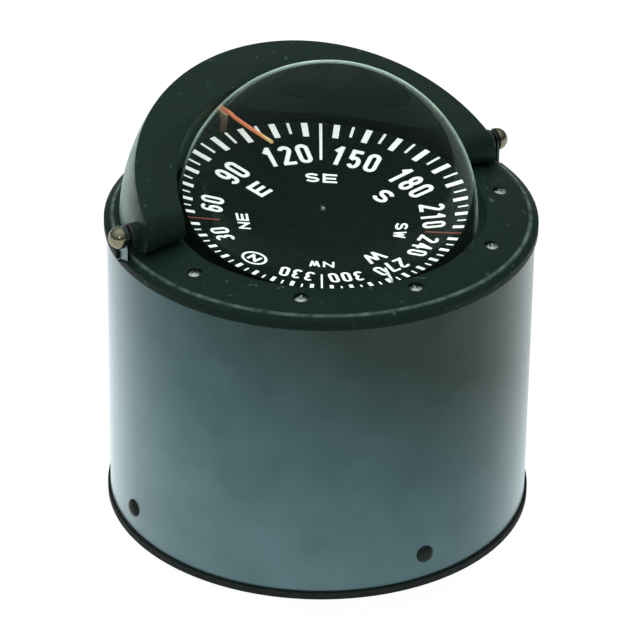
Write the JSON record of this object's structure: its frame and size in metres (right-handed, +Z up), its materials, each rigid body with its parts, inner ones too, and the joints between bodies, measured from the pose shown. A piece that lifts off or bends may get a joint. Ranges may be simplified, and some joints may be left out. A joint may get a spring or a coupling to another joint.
{
  "type": "binnacle compass",
  "caption": "Binnacle-mount marine compass: clear liquid-filled dome over a gimballed card in a round steel tube, with a tilting hood held by thumb screws.",
  "frame": {"origin": "centre of the underside, on the deck", "axes": "+Z up along the tube, +X to the right along the hood's hinge, +Y to the hood's side away from the reader"},
  "size_m": [0.196, 0.1876, 0.2048],
  "materials": {
    "tube_steel": "ground and polished stainless steel sheet",
    "black_plastic": "black satin moulding",
    "hood_plastic": "black moulding with a soft gloss",
    "rubber": "plain black rubber",
    "clear_dome": "clear polished",
    "black_screw": "blackened steel",
    "bezel_screw": "blackened stainless steel",
    "pin_steel": "turned stainless steel",
    "brass": "turned brass",
    "magnet": "bare magnet alloy",
    "card": "matt black with white marks",
    "lubber_paint": "orange-red paint",
    "white_paint": "white paint",
    "jewel": "polished synthetic sapphire",
    "lamp": "red moulded lens",
    "washer": "black nylon",
    "chrome": "polished chrome"
  },
  "bodies": {
    "binnacle": {"base_gasket": "rubber", "base_plate": "black_plastic", "side_screws": "black_screw", "binnacle_tube": "tube_steel", "bezel_ring": "black_plastic", "bezel_screws": "bezel_screw", "lead_grommet": "rubber", "glass_dome": "clear_dome", "dome_seal": "rubber", "compass_bowl": "black_plastic", "gimbal_pins": "pin_steel", "filler_plug": "brass", "filler_seal": "rubber", "diaphragm": "rubber", "compensator_housing": "black_plastic", "housing_screws": "pin_steel", "saddle_washers": "washer"},
    "gimbal": {"gimbal_ring": "black_plastic", "cradle_pins": "pin_steel"},
    "cradle": {"pivot_cradle": "black_plastic", "pivot_pin": "pin_steel", "counterweight": "brass", "lubber_wire": "lubber_paint", "aft_lubber": "white_paint"},
    "card": {"compass_card": "card", "card_float": "black_plastic", "jewel_cup": "jewel", "card_magnets": "magnet"},
    "adjuster_x": {"adjuster_rod_x": "brass", "adjuster_magnet_x": "magnet"},
    "adjuster_y": {"adjuster_rod_y": "brass", "adjuster_magnet_y": "magnet"},
    "hood": {"hood_shell": "hood_plastic", "hood_inserts": "brass", "hood_washers": "washer", "lamp_holder": "rubber", "lamp": "lamp"},
    "left_screw": {"knob_left": "chrome"},
    "right_screw": {"knob_right": "chrome"}
  },
  "joints": [
    {"name": "hood_tilt", "type": "hinge", "parent": "binnacle", "child": "hood", "pos_m": [0, 0.0078, 0.1457], "axis": [1, 0, 0], "range_deg": [0, 12]},
    {"name": "left_screw_turn", "type": "hinge", "parent": "hood", "child": "left_screw", "pos_m": [-0.093, 0.0078, 0.1457], "axis": [-1, 0, 0], "range_deg": [0, 360]},
    {"name": "right_screw_turn", "type": "hinge", "parent": "hood", "child": "right_screw", "pos_m": [0.093, 0.0078, 0.1457], "axis": [1, 0, 0], "range_deg": [0, 360]},
    {"name": "gimbal_tilt", "type": "hinge", "parent": "binnacle", "child": "gimbal", "pos_m": [-0.0025, -0.005, 0.128], "axis": [1, 0, 0], "range_deg": [-31, 19]},
    {"name": "cradle_roll", "type": "hinge", "parent": "gimbal", "child": "cradle", "pos_m": [-0.0025, -0.005, 0.128], "axis": [0, 0.9945, 0.1045], "range_deg": [-25, 25]},
    {"name": "card_swing", "type": "hinge", "parent": "cradle", "child": "card", "pos_m": [-0.0025, -0.005, 0.128], "axis": [0, -0.1045, 0.9945], "continuous": true},
    {"name": "adjuster_x_turn", "type": "hinge", "parent": "binnacle", "child": "adjuster_x", "pos_m": [0, -0.005, 0.0385], "axis": [1, 0, 0], "continuous": true},
    {"name": "adjuster_y_turn", "type": "hinge", "parent": "binnacle", "child": "adjuster_y", "pos_m": [0, -0.005, 0.0305], "axis": [0, 1, 0], "continuous": true}
  ]
}
